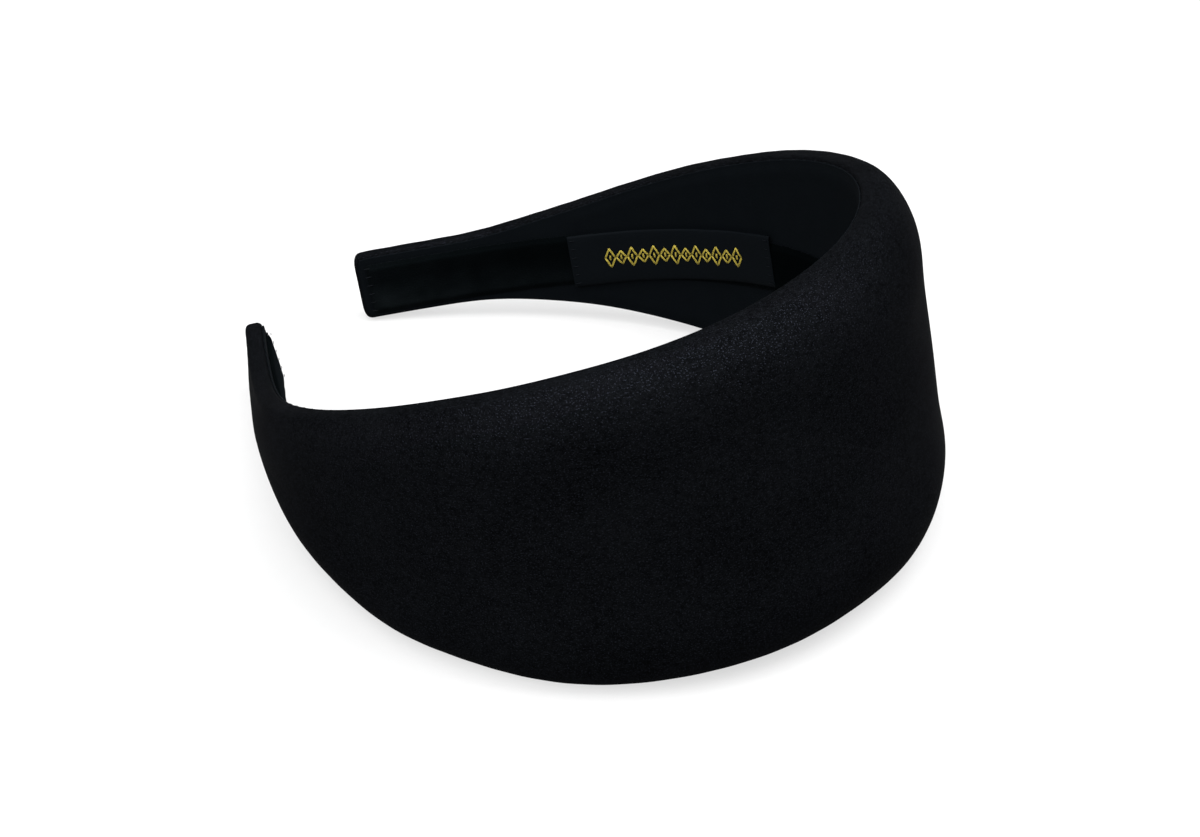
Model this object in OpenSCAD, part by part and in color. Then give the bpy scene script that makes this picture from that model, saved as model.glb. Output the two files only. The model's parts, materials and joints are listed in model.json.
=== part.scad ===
// A wide padded headband, lying on its lower edge.
// +Z is up, +X points to the crown and Y runs across the head.
// The origin is on the surface below the middle of the band.
// All sizes are in millimetres and all angles in degrees.

/* [Band] */
// Length of one arm along its inner face, from the crown to the tip
arm_length = 190; // [165:1:215]
// Width of the band at the crown
crown_width = 72; // [50:1:90]
// Width of the band at the tips
tip_width = 16; // [15:0.5:24]
// How far an arm turns on its way from the crown to the tip
arm_turn = 134; // [115:1:150]
// Radius of the corners at the tips
tip_corner = 2; // [1.6:0.1:5]

/* [Padding] */
// Thickness of the padded band at the crown
crown_padding = 12; // [7:0.1:15]
// Thickness of the band at the tips
tip_padding = 4.2; // [3.5:0.1:6]
// Length over which the padding thins out to the end of a tip
tip_taper = 5; // [2:0.5:12]
// Thickness of the very end of a tip
tip_end_thickness = 3.4; // [2.2:0.1:3.8]
// Radius of the edge where the cover turns onto the inner face
turned_edge = 1; // [0.6:0.1:1.6]
// Roundness of the padded edge, from nearly square to a plain arch
edge_roundness = 0.38; // [0.3:0.01:1]

/* [Lining] */
// Thickness of the lining cloth
lining_thickness = 1; // [0.8:0.1:1.5]
// Cover left bare between the rim of the band and the edge of the lining
lining_margin = 1.2; // [1:0.1:2.5]

/* [Grip ribbon] */
// Width of the velvet ribbon along the inner face
ribbon_width = 12; // [8:0.5:12]
// Thickness of the ribbon with its pile
ribbon_thickness = 1; // [0.8:0.1:1.5]
// Bare stretch between the end of the ribbon and the tip
ribbon_end = 3.5; // [3:0.5:20]

/* [Label] */
// Length of the satin label along the arm
label_length = 51; // [20:1:60]
// Width of the label
label_width = 12.5; // [10:0.5:18]
// Thickness of the folded label
label_thickness = 1; // [0.8:0.1:1.5]
// Distance along the arm from the crown to the middle of the label
label_place = 115.5; // [80:0.5:120]

/* [Fit] */
// Gap between one layer and the next
layer_gap = 0.1; // [0.05:0.05:0.3]
// How far the ribbon and the label lie below the middle line of the band
ribbon_drop = 0.4; // [0:0.1:1]

/* [Fineness] */
// Sections along each arm
arm_sections = 40; // [20:1:48]
// Steps over the padded outer face
face_steps = 16; // [8:2:18]

/* [Hidden] */

// Columns of the table of sections
ALONG = 0;
BEND = 1;
WIDTH = 2;
PADDING = 3;
// One row for each section. Along is a share of arm_length. Bend is a share of the sharpest bend.
// Width and padding go from 1, the size at the crown, to 0, the size at the tip.
SECTIONS = [
    [0.000, 0.78, 1.00, 1.00],
    [0.125, 0.89, 0.98, 0.93],
    [0.250, 1.00, 0.93, 0.74],
    [0.375, 0.89, 0.79, 0.61],
    [0.500, 0.77, 0.59, 0.51],
    [0.625, 0.70, 0.36, 0.34],
    [0.750, 0.43, 0.13, 0.22],
    [0.875, 0.17, 0.00, 0.08],
    [1.000, 0.09, 0.00, 0.00]
];

// How much flatter than a circle the two ends of the padded face are
EDGE_REACH = 0.9;
// Steps round a turned edge and round a tip's corner
CORNER_STEPS = 3;
// Shortest stretch between one section and the next
SHORTEST_STEP = 0.1;
// Largest angle that the band can rock back by, and the step in which it is searched
ROCK_LIMIT = 30;
ROCK_STEP = 0.1;

// Rise of a column from one row of the table to the next
function rise(row, column) =
    (SECTIONS[row + 1][column] - SECTIONS[row][column])
    / (SECTIONS[row + 1][ALONG] - SECTIONS[row][ALONG]);

// Slope of a column at a row, level at both ends and where the column turns back
function slope(row, column) =
    row == 0 || row == len(SECTIONS) - 1 ? 0 :
    let (before = rise(row - 1, column), after = rise(row, column))
    before * after <= 0 ? 0 : 2 * before * after / (before + after);

// Last row at or before a share of the arm
function row_before(share, row = 0) =
    row == len(SECTIONS) - 2 || SECTIONS[row + 1][ALONG] > share ? row : row_before(share, row + 1);

// Smooth value of a column at a share of the arm
function section_value(share, column) =
    let (row = row_before(share),
         step = SECTIONS[row + 1][ALONG] - SECTIONS[row][ALONG],
         t = (share - SECTIONS[row][ALONG]) / step)
    SECTIONS[row][column] * (1 + 2 * t) * pow(1 - t, 2)
    + SECTIONS[row + 1][column] * (3 - 2 * t) * pow(t, 2)
    + step * slope(row, column) * t * pow(1 - t, 2)
    - step * slope(row + 1, column) * pow(t, 2) * (1 - t);

function total(list) = list * [for (value = list) 1];

// The totals of a list so far, from zero to the whole
function running_total(list) =
    [for (i = 0, sum = 0; i <= len(list); sum = i < len(list) ? sum + list[i] : sum, i = i + 1) sum];

// Plan of one arm: how far it has turned and where it is after each of its straight steps
arm_step = arm_length / arm_sections;
steps = [0 : arm_sections - 1];
bends = [for (i = steps) section_value((i + 0.5) / arm_sections, BEND)];
turns = running_total(arm_turn / total(bends) * bends);
headings = [for (i = steps) (turns[i] + turns[i + 1]) / 2];
xs = running_total([for (heading = headings) -arm_step * sin(heading)]);
ys = running_total([for (heading = headings) arm_step * cos(heading)]);
plan_turn = [for (i = [0 : arm_sections]) [i * arm_step, turns[i]]];
plan_x = [for (i = [0 : arm_sections]) [i * arm_step, xs[i]]];
plan_y = [for (i = [0 : arm_sections]) [i * arm_step, ys[i]]];

// A point of the band, from its distance along the inner face, its distance out from that face
// and its height over the middle line. Distances below zero lie on the other arm.
function on_band(along, out, height) =
    let (s = abs(along), turn = lookup(s, plan_turn), side = along < 0 ? -1 : 1)
    [lookup(s, plan_x) + out * cos(turn), side * (lookup(s, plan_y) + out * sin(turn)), height];

// What a rounded end of a given radius cuts away at a place
function end_cut(along, end, radius) =
    radius - sqrt(pow(radius, 2) - pow(min(radius, max(0, abs(along) - end + radius)), 2));

// Half the width of the band and its thickness, without the rounded ends
function half_width(along) =
    (tip_width + (crown_width - tip_width) * section_value(abs(along) / arm_length, WIDTH)) / 2;
function thickness(along) =
    tip_padding + (crown_padding - tip_padding) * section_value(abs(along) / arm_length, PADDING);

// Places of the sections between two ends: each bend of the plan, and the ends themselves
function places(start, end) =
    concat([start],
           [for (i = [-arm_sections : arm_sections]) let (s = i * arm_step)
               if (s > start + SHORTEST_STEP && s < end - SHORTEST_STEP) s],
           [end]);

// The same from tip to tip, with more sections where the ends are rounded
function rounded_places(end, radius) =
    let (corner = [for (i = [1 : CORNER_STEPS]) end - radius * (1 - sin(90 * i / CORNER_STEPS))])
    concat([for (i = [CORNER_STEPS - 1 : -1 : 0]) -corner[i]], places(radius - end, end - radius), corner);

// Section of the padded band as pairs of out and height: over the padded face from the lower
// edge to the upper one, round the turned edge, down the flat inner face and round again
function band_section(along) =
    let (w = half_width(along) - end_cut(along, arm_length, tip_corner),
         taper = end_cut(along, arm_length, tip_taper) / tip_taper,
         t = thickness(along) + (tip_end_thickness - thickness(along)) * taper,
         flat = w - turned_edge)
    concat(
        [for (i = [0 : face_steps]) let (a = 180 * i / face_steps)
            [turned_edge + (t - turned_edge) * pow(sin(a), edge_roundness),
             -sign(cos(a)) * w * pow(abs(cos(a)), EDGE_REACH)]],
        [for (i = [1 : CORNER_STEPS]) let (a = 90 * i / CORNER_STEPS)
            [turned_edge * (1 - sin(a)), flat + turned_edge * cos(a)]],
        [for (i = [CORNER_STEPS : -1 : 1]) let (a = 90 * i / CORNER_STEPS)
            [turned_edge * (1 - sin(a)), -flat - turned_edge * cos(a)]]);

// Section of a flat layer between two heights, with its outer face at out
function layer_section(low, high, out, thick) =
    [[out, low], [out, high], [out - thick, high], [out - thick, low]];

// Solid through a list of closed sections, each a list of points
module loft(sections) {
    count = len(sections[0]);
    last = len(sections) - 1;
    sides = [for (i = [0 : last - 1], j = [0 : count - 1])
        let (a = i * count + j, b = i * count + (j + 1) % count)
        each [[a, b, a + count], [b, b + count, a + count]]];
    first_cap = [for (j = [1 : count - 2]) [0, j + 1, j]];
    last_cap = [for (j = [1 : count - 2]) [last * count, last * count + j, last * count + j + 1]];
    polyhedron(points = [for (section = sections) each section],
               faces = concat(sides, first_cap, last_cap));
}

// How the band rests: it rocks back on its lower edge until its weight lies lowest
band_places = rounded_places(arm_length, tip_corner);
weights = [for (s = band_places) half_width(s) * thickness(s)];
balance_x = [for (s = band_places) on_band(s, thickness(s) / 2, 0)[0]] * weights / total(weights);
lower_edge = [for (s = band_places, p = band_section(s))
    if (s >= 0 && p[1] < -half_width(s) / 2) on_band(s, p[0], p[1])];
function lowest_point(rock) = min([for (p = lower_edge) p[0] * sin(rock) + p[2] * cos(rock)]);
rocks = [for (rock = [0 : ROCK_STEP : ROCK_LIMIT]) rock];
weight_heights = [for (rock = rocks) balance_x * sin(rock) - lowest_point(rock)];
rest_rock = rocks[search(min(weight_heights), weight_heights)[0]];

// Where the resting band reaches along X, which puts the origin below its middle
resting_x = [for (s = band_places, p = band_section(s)) if (s >= 0)
    let (q = on_band(s, p[0], p[1])) q[0] * cos(rest_rock) - q[2] * sin(rest_rock)];

// Lays what is drawn in the band's own frame down on the surface
module at_rest() {
    translate([-(min(resting_x) + max(resting_x)) / 2, 0, -lowest_point(rest_rock)])
    rotate([0, -rest_rock, 0])
    children();
}

// Inner layers, counted inwards from the inner face
lining_out = -layer_gap;
ribbon_out = lining_out - lining_thickness - layer_gap;
label_out = ribbon_out - ribbon_thickness - layer_gap;

// Cover and padding over a springy core, closed all round
module padded_band() {
    color([0.035, 0.038, 0.05])
    at_rest()
    loft([for (s = band_places) [for (p = band_section(s)) on_band(s, p[0], p[1])]]);
}

// Cloth over the whole inner face, inside the turned edge of the cover
module lining() {
    end = arm_length - lining_margin;
    corner = max(tip_corner - lining_margin, SHORTEST_STEP);
    color([0.07, 0.08, 0.11])
    at_rest()
    loft([for (s = rounded_places(end, corner))
        let (w = half_width(s) - lining_margin - end_cut(s, end, corner))
        [for (p = layer_section(-w, w, lining_out, lining_thickness)) on_band(s, p[0], p[1])]]);
}

// Velvet ribbon that keeps the band from slipping, from tip to tip over the lining
module grip_ribbon() {
    end = arm_length - ribbon_end;
    low = -ribbon_drop - ribbon_width / 2;
    high = -ribbon_drop + ribbon_width / 2;
    color([0.02, 0.02, 0.03])
    at_rest()
    loft([for (s = places(-end, end))
        [for (p = layer_section(low, high, ribbon_out, ribbon_thickness)) on_band(s, p[0], p[1])]]);
}

// Plain satin label with folded ends, sewn over the ribbon
module label() {
    start = label_place - label_length / 2;
    low = -ribbon_drop - label_width / 2;
    high = -ribbon_drop + label_width / 2;
    color([0.08, 0.085, 0.12])
    at_rest()
    loft([for (s = places(start, start + label_length))
        [for (p = layer_section(low, high, label_out, label_thickness)) on_band(s, p[0], p[1])]]);
}

padded_band();
lining();
grip_ribbon();
label();
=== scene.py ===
# %% [markdown]
# A padded headband, dressed in cloth one cell at a time.
# The construction comes first and is fixed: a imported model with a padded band, a lining, a grip
# ribbon and a label, all of them plain solids. Each cell below replaces one of these with the
# cloth form that the real piece has, or gives a piece its finish.

# %% Load the fixed frame
import json
import math
import bpy
import numpy as np
from mathutils import Matrix, Vector
from mathutils.bvhtree import BVHTree


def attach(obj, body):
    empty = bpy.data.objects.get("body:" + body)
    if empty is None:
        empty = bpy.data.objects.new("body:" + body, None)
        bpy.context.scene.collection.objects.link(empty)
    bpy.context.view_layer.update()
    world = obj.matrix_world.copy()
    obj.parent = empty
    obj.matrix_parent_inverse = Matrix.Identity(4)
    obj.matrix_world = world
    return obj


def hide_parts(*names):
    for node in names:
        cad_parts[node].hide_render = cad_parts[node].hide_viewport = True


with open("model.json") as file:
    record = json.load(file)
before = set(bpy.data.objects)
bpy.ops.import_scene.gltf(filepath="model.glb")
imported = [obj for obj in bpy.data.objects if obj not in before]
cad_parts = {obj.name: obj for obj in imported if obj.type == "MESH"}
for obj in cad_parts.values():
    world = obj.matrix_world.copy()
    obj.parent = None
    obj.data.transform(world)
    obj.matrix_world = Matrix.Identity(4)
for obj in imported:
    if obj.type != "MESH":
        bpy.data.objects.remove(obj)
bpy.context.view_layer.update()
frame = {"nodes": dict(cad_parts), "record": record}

MM = 0.001
print("frame:", sorted(frame["nodes"]))

# %% [markdown]
# Where is the band? The frame leans back a little, as a real band does when it is put down, so
# row coordinates are awkward to sew in. The mount called head_seat says which way the inner face
# looks at the crown. From it come three axes that lean with the band: outward, sideways and up.

# %% Axes that lean with the band
seat = next(mount for mount in frame["record"]["mounts"] if mount["name"] == "head_seat")
SEAT = np.array(seat["pos_m"])
OUTWARD = -np.array(seat["axis"])
SIDEWAYS = np.array([0.0, 1.0, 0.0])
AXES = np.stack([OUTWARD, SIDEWAYS, np.cross(OUTWARD, SIDEWAYS)])


def in_band_axes(node):
    """The corners and faces of a CAD node, in the axes that lean with the band."""
    mesh = frame["nodes"][node].data
    corners = np.array([vertex.co for vertex in mesh.vertices]) - SEAT
    return corners @ AXES.T, [tuple(face.vertices) for face in mesh.polygons]


band_corners, band_faces = in_band_axes("padded_band")
band_tree = BVHTree.FromPolygons(band_corners.tolist(), band_faces)
print("band leans back by", round(math.degrees(math.asin(OUTWARD[2])), 2), "degrees")

# %% [markdown]
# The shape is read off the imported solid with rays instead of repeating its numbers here, so the
# cloth always fits the construction. Rays from the middle of the head find the inner face. How
# far the face has turned is then smoothed, because the solid is made of short flat steps and
# cloth isn't, and adding the steps up again gives a smooth line along the inner face.

# %% Trace the inner face from tip to tip
RAY_STEP = 0.02  # degrees between two rays
TRACE_STEP = 0.25 * MM
TURN_BLUR = 4 * MM  # a little less than one flat step of the solid
BLUR_SIDE = 3  # how many reaches a blur looks to each side


def blurred(values, reach):
    """Evenly spaced values along the trace, evened out over a reach in metres."""
    pad = int(BLUR_SIDE * reach / TRACE_STEP)
    weight = np.exp(-0.5 * (np.arange(-pad, pad + 1) * TRACE_STEP / reach) ** 2)
    padded_values = np.pad(values, pad, mode="reflect", reflect_type="odd")
    return np.convolve(padded_values, weight / weight.sum(), mode="valid")


def even_rows(end, step):
    """Evenly spaced places along the band, the same on both sides of the crown."""
    return np.linspace(-end, end, 2 * round(end / step) + 1)


head_middle = Vector(((band_corners[:, 0].min() + band_corners[:, 0].max()) / 2, 0, 0))
angles = np.radians(np.arange(-180 + RAY_STEP, 180, RAY_STEP))
hits = [band_tree.ray_cast(head_middle, Vector((math.cos(a), math.sin(a), 0)))[0] for a in angles]
inner = np.array([hit[:2] for hit in hits if hit is not None])
run = np.append(0, np.cumsum(np.linalg.norm(np.diff(inner, axis=0), axis=1)))
arm = run[-1] / 2
along = even_rows(arm, TRACE_STEP)
step = along[1] - along[0]
across, sideways = (np.interp(along, run - arm, inner[:, k]) for k in (0, 1))
heading = np.unwrap(np.arctan2(-np.diff(across), np.diff(sideways)))
turn = blurred(np.interp(along, along[1:] - step / 2, heading), TURN_BLUR)
middle_turn = (turn[1:] + turn[:-1]) / 2
crown = len(along) // 2
steps = np.stack([-np.sin(middle_turn), np.cos(middle_turn)], 1) * step
trace = np.append([[0, 0]], np.cumsum(steps, 0), 0)
trace += [across[crown] - trace[crown, 0], -trace[crown, 1]]
print("one arm is", round(arm / MM, 2), "mm long and turns by", round(math.degrees(turn[-1]), 1), "degrees")
print("the smooth line leaves the solid by", round(np.abs(trace[:, 0] - across).max() / MM, 3), "mm at most")

# %% [markdown]
# A tailor measures a body every so often and lets the cloth run smoothly in between. The same is
# done here: rays from outside give the thickness of the padding, and rays from above the height
# of the rim. The last few millimetres of each arm are left out, because the ends are rounded and
# get a cell of their own.

# %% Measure thickness and width along the band
TIP_SHAPED = 6 * MM  # stretch at each tip that is rounded and thinned
FAR = 100 * MM
RIM_PROBES = np.array([0.6, 0.9, 1.2, 1.8, 2.6]) * MM  # out from the inner face
out_x, out_y = np.cos(turn), np.sin(turn)


def hit_from(start, direction):
    """Where a ray first meets the solid."""
    return np.array(band_tree.ray_cast(Vector(start), Vector(direction))[0])


thickness, half_width = np.zeros_like(along), np.zeros_like(along)
for i in range(len(along)):
    foot, normal = np.append(trace[i], 0), np.array([out_x[i], out_y[i], 0])
    if abs(along[i]) < arm - TIP_SHAPED:
        thickness[i] = (hit_from(foot + FAR * normal, -normal) - foot) @ normal
        tops = [hit_from(foot + probe * normal + [0, 0, FAR], (0, 0, -1))[2] for probe in RIM_PROBES]
        half_width[i] = max(tops)
measured = np.abs(along) < arm - TIP_SHAPED
thickness = blurred(np.interp(along, along[measured], thickness[measured]), TURN_BLUR)
half_width = blurred(np.interp(along, along[measured], half_width[measured]), TURN_BLUR)
print("crown", np.round([thickness[crown] / MM, 2 * half_width[crown] / MM], 2),
      "tip", np.round([thickness[-1] / MM, 2 * half_width[-1] / MM], 2), "mm thick and wide")

# %% [markdown]
# Every piece of this band is sewn or glued along the same curve, so one function puts any of them
# in place. It takes a distance along the inner face from the crown, a distance out from that face
# and a height over its middle line. Inner layers have a distance out below zero. The solid has two
# equal arms, and a soft band never has. The near arm reaches a little less far, its tip is twisted
# outwards at the top and is plumper inside, and its padding is fuller halfway and low down. Just
# past the crown the padding is a little flatter. This function adds all of it for every piece
# together, so that the layers stay on each other.

# %% Put points on the band
NEAR_START = 120 * MM
NEAR_SHORTER = 2.0 * MM
NEAR_OPEN = 0.5 * MM
NEAR_LOWER = 0.3 * MM
NEAR_TWIST = 0.075  # out for each unit of height, at the tip
NEAR_PLUMP, PLUMP_DEPTH = 0.7 * MM, 4 * MM  # more padding inside the near tip, up to this depth
# The next four are each an amount, a place along the band and a reach.
FULLER, FULLER_PLACE, FULLER_REACH = 0.6 * MM, -126 * MM, 20 * MM  # all of the near arm, halfway
HIGHER, HIGHER_PLACE, HIGHER_REACH = 0.5 * MM, -84 * MM, 26 * MM  # upper rim of the near arm
BULGE, BULGE_PLACE, BULGE_REACH = 1.1 * MM, -96 * MM, 24 * MM  # padding low on the near arm
FLATTER, FLATTER_PLACE, FLATTER_REACH = 0.7 * MM, 38 * MM, 34 * MM  # padding just past the crown
FULL_HEIGHT = 30 * MM  # height over the middle line at which the rim and the low side have all of it
PADDED_DEPTH = 9 * MM  # depth from which the padding has all of it


def hump(at, place, reach):
    """1 at this place, and fading out on both sides of it over this reach."""
    return np.exp(-(((at - place) / reach) ** 2))


def on_band(at, out, height):
    """Row coordinates of points along the band, out from its inner face and up."""
    at, out, height = np.broadcast_arrays(at, out, height)
    near = np.clip((-at - NEAR_START) / (arm - NEAR_START), 0, 1)
    near = near * near * (3 - 2 * near)
    out = out + NEAR_OPEN * near**2 + NEAR_TWIST * near * height
    out = out + FULLER * hump(at, FULLER_PLACE, FULLER_REACH)
    low_side = np.clip(-height / FULL_HEIGHT, 0, 1)
    middle_part = np.clip(1 - (height / FULL_HEIGHT) ** 2, 0, 1)
    padding = BULGE * hump(at, BULGE_PLACE, BULGE_REACH) * low_side
    padding = padding - FLATTER * hump(at, FLATTER_PLACE, FLATTER_REACH) * middle_part
    out = out + padding * np.clip(out / PADDED_DEPTH, 0, 1)
    out = out - NEAR_PLUMP * near * np.clip(1 - out / PLUMP_DEPTH, 0, 1)
    lift = HIGHER * hump(at, HIGHER_PLACE, HIGHER_REACH) * np.clip(height / FULL_HEIGHT, 0, 1) ** 2
    at, height = at + NEAR_SHORTER * near, height + lift - NEAR_LOWER * near
    lean = np.interp(at, along, turn)
    x = np.interp(at, along, trace[:, 0]) + out * np.cos(lean)
    y = np.interp(at, along, trace[:, 1]) + out * np.sin(lean)
    return SEAT + np.stack([x, y, height], -1) @ AXES


print("label side of the crown, 10 cm along:", np.round(on_band(0.1, 0, 0) / MM, 1))

# %% Look up the width and the thickness


def width_at(at):
    """Half the width of the band at each place."""
    return np.interp(at, along, half_width)


def thickness_at(at):
    """Thickness of the padding at each place."""
    return np.interp(at, along, thickness)


def end_cut(at, end, radius):
    """How much a rounded end takes off at each place."""
    reach = np.clip(np.abs(at) - end + radius, 0, radius)
    return radius - np.sqrt(radius**2 - reach**2)


arm_size = [thickness_at(0.1) / MM, 2 * width_at(0.1) / MM]
print("10 cm along, the band is", np.round(arm_size, 1), "mm thick and wide")

# %% [markdown]
# Handmade things are never quite even. A sum of a few slow waves with seeded phases makes an
# unevenness that is the same on every run, which a random number for each point would not look
# like: cloth and foam change slowly.

# %% Unevenness of handwork
WAVES = 7
WAVE_SPREAD = 0.6, 1.5  # fewest and most waves in one reach


def uneven(seed, reach, *places):
    """A smooth value from about -1 to 1 that changes over this reach, one for each place."""
    draw = np.random.default_rng(seed)
    total = 0
    for _ in range(WAVES):
        way = draw.normal(size=len(places))
        way *= draw.uniform(*WAVE_SPREAD) / np.linalg.norm(way)
        phase = sum(w * place for w, place in zip(way, places)) * 2 * np.pi / reach
        total = total + np.sin(phase + draw.uniform(0, 2 * np.pi))
    return total / math.sqrt(2 * WAVES)


largest = np.abs(uneven(1, 1.0, np.linspace(0, 60, 1000))).max()
print("unevenness, largest of a thousand places:", round(float(largest), 2))

# %% [markdown]
# A sheet or a tube of cloth is a grid: rows run along the band and columns go round it. The grid
# becomes a mesh of four-sided faces, and every corner keeps its place on the flat cloth in metres
# as a UV map. The weave is drawn from these, so it follows the cloth round every bend.

# %% Turn grids of points into cloth
CLOTH_MAP = "cloth"


def new_piece(name, corners, faces):
    """An object with a smoothly shaded mesh, put in the scene."""
    mesh = bpy.data.meshes.new(name)
    mesh.from_pydata(np.reshape(corners, (-1, 3)).tolist(), [], faces)
    mesh.shade_smooth()
    piece = bpy.data.objects.new(name, mesh)
    bpy.context.scene.collection.objects.link(piece)
    return piece


def cloth_piece(name, grid, flat, caps):
    """A tube of cloth through a grid of points, with each point's place on the flat cloth.

    There is one more column of flat places than of points, because the last column is joined to
    the first. Both ends are closed, each by one round face or in pairs of columns.
    """
    rows, columns = grid.shape[:2]
    row, column = np.meshgrid(np.arange(rows - 1), np.arange(columns), indexing="ij")
    after = column + 1
    quads = [(row, column), (row + 1, column), (row + 1, after), (row, after)]
    corners = np.stack([r * columns + c % columns for r, c in quads], -1).reshape(-1, 4)
    spots = np.stack([flat[r, c] for r, c in quads], 2).reshape(-1, 2)
    first, last = np.arange(columns), (rows - 1) * columns + np.arange(columns)
    if caps == "round":
        ends = [first, last[::-1]]
    else:
        near = np.arange(columns // 2 - 1)
        pair = np.stack([near, near + 1, columns - 2 - near, columns - 1 - near], 1)
        ends = [*first[pair], *last[pair][:, ::-1]]
    spots = np.concatenate([spots, flat[:, :columns].reshape(-1, 2)[np.concatenate(ends)]])
    piece = new_piece(name, grid, corners.tolist() + [end.tolist() for end in ends])
    piece.data.uv_layers.new(name=CLOTH_MAP).uv.foreach_set("vector", spots.astype(np.float32).ravel())
    return piece


def made(piece):
    """Say what was made."""
    size = [round(side / MM, 1) for side in piece.dimensions]
    print(piece.name, "has", len(piece.data.polygons), "faces; size in mm", size)


print("places on the flat cloth are kept in the map called", CLOTH_MAP)

# %% [markdown]
# The cover is one piece of crepe drawn over foam. The foam sits on a springy base, whose hard
# edge makes the rim: the cloth goes round it, dips a little where the foam starts, and then
# swells into a soft shoulder. A lofted section holds all of this, because the photograph shows the
# shoulder as an even line. The dip is deep on the near side of the crown, and shallow on the far
# side and along the lower edge. Along the arms, where the foam runs out, the dip and the shoulder
# are flatter and lie closer to the rim.

# %% Measures of the foam under the cover
NARROWING = [15 * MM, 90 * MM]  # the next four are for these two places, on the crown and on the arm
DIP_PLACE = [7.2 * MM, 4.8 * MM]  # from the turned edge, over the face
DIP_REACH = [3.7 * MM, 2.4 * MM]
SHOULDER_PLACE = [18.5 * MM, 12 * MM]
SHOULDER_REACH = [8 * MM, 5.2 * MM]
SHOULDER_FULL = 1.15 * MM
DIP_FADE = [5 * MM, 35 * MM]  # the dip is as deep as on the near side up to the first place
DIP_DEPTH = [1.25 * MM, 0.25 * MM]  # and as deep as on the far side from the second
DIP_UNEVENNESS, DIP_DRIFT = 0.3, 45 * MM  # share by which its depth changes, and over which length
LOWER_DIP = 0.3  # share of the dip that the lower edge has
UPPER_START, UPPER_BLEND = 0.4, 0.2  # where the rest of it comes in, as shares of the face
FOAM_UNEVENNESS = 0.22 * MM
FOAM_REACH = 34 * MM
GATHER = 0.04 * MM
GATHER_LENGTH = 7 * MM
GATHER_FADE = 5 * MM
GATHER_STRAY, GATHER_DRIFT = 2, 60 * MM  # how far the gathers stray from an even row
print("on the crown the dip is", round(DIP_DEPTH[0] / MM, 2), "mm deep")
print("and the shoulder", round(SHOULDER_FULL / MM, 2), "mm high")

# %% Section of the padded cover
ARCH_ROUNDNESS = 0.38  # power of the arch: the lower it is, the squarer the arch
ARCH_REACH = 0.9  # how far its two ends are drawn out
TURNED_EDGE = 1.0 * MM  # radius of the cloth where it turns to the inner face
ARCH_POINTS = 84  # over the padded face
FINE_POINTS = 1500  # used to space the points evenly

fine = np.linspace(0, np.pi, FINE_POINTS)
for _ in range(2):  # closer together where the arch is steep
    fine = np.pi * (1 - np.cos(fine)) / 2


def arch(at, width, depth):
    """Out and height of evenly spaced points over the padded face of one section."""
    out = TURNED_EDGE + (depth - TURNED_EDGE) * np.sin(fine) ** ARCH_ROUNDNESS
    height = -np.sign(np.cos(fine)) * width * np.abs(np.cos(fine)) ** ARCH_REACH
    way = np.append(0, np.cumsum(np.hypot(np.diff(out), np.diff(height))))
    even = np.linspace(0, way[-1], ARCH_POINTS)
    out, height = np.interp(even, way, out), np.interp(even, way, height)
    slope = np.hypot(np.gradient(out), np.gradient(height))
    normal_out, normal_height = np.gradient(height) / slope, -np.gradient(out) / slope
    rim = np.minimum(even, even[-1] - even)
    full = depth / thickness[crown]
    upper = LOWER_DIP + (1 - LOWER_DIP) * np.clip((even / even[-1] - UPPER_START) / UPPER_BLEND, 0, 1)
    dip = np.interp(at, DIP_FADE, DIP_DEPTH) * upper
    dip = dip * (1 + DIP_UNEVENNESS * uneven(11, DIP_DRIFT, at, even))
    pairs = DIP_PLACE, DIP_REACH, SHOULDER_PLACE, SHOULDER_REACH
    here = [np.interp(abs(at), NARROWING, pair) for pair in pairs]
    dip_place, dip_reach, shoulder_place, shoulder_reach = here
    swell = -dip * full * hump(rim, dip_place, dip_reach)
    swell += SHOULDER_FULL * full * hump(rim, shoulder_place, shoulder_reach)
    swell += FOAM_UNEVENNESS * full * uneven(12, FOAM_REACH, at, even) * np.clip(rim / dip_place, 0, 1)
    gathers = np.sin(2 * np.pi * at / GATHER_LENGTH + GATHER_STRAY * uneven(13, GATHER_DRIFT, at))
    swell += GATHER * gathers * np.exp(-rim / GATHER_FADE) * np.clip(rim / MM, 0, 1)
    return out + swell * normal_out, height + swell * normal_height


print("one section has", ARCH_POINTS, "points over the foam")

# %% [markdown]
# At the tips the cloth is folded over a thin end. The sections get narrower by the corner radius,
# the padding thins out, and the last few shrink towards their middle so that the end is closed
# and softly rounded.

# %% One ring of the cover
TIP_CORNER = 2 * MM
TIP_TAPER = 5 * MM
TIP_END = 3.4 * MM  # thickness of the very end
TURN_POINTS = 5  # round each turned edge
BACK_POINTS = 8  # over the flat inner face, mostly under the lining


def cover_ring(at, shrink):
    """One section of the cover in row coordinates, and its way over the cloth."""
    width = width_at(at) - end_cut(at, arm, TIP_CORNER)
    taper = end_cut(at, arm, TIP_TAPER) / TIP_TAPER
    depth = thickness_at(at) + (TIP_END - thickness_at(at)) * taper
    out, height = arch(at, width, depth)
    round_it = np.linspace(0, np.pi / 2, TURN_POINTS + 1)[1:]
    turn_out = TURNED_EDGE * (1 - np.sin(round_it))
    turn_height = width - TURNED_EDGE * (1 - np.cos(round_it))
    back = np.linspace(turn_height[-1], -turn_height[-1], BACK_POINTS + 2)[1:-1]
    out = np.concatenate([out, turn_out, 0 * back, turn_out[::-1]])
    height = np.concatenate([height, turn_height, back, -turn_height[::-1]])
    middle = depth / 2
    out = middle + (out - middle) * (1 - shrink / middle)
    height = height * (1 - shrink / width)
    step_lengths = np.hypot(np.diff(out, append=out[0]), np.diff(height, append=height[0]))
    way = np.append(0, np.cumsum(step_lengths))
    return on_band(at, out, height), way - way[ARCH_POINTS - 1] / 2


print("one ring has", len(cover_ring(0.0, 0.0)[0]), "points")

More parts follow.
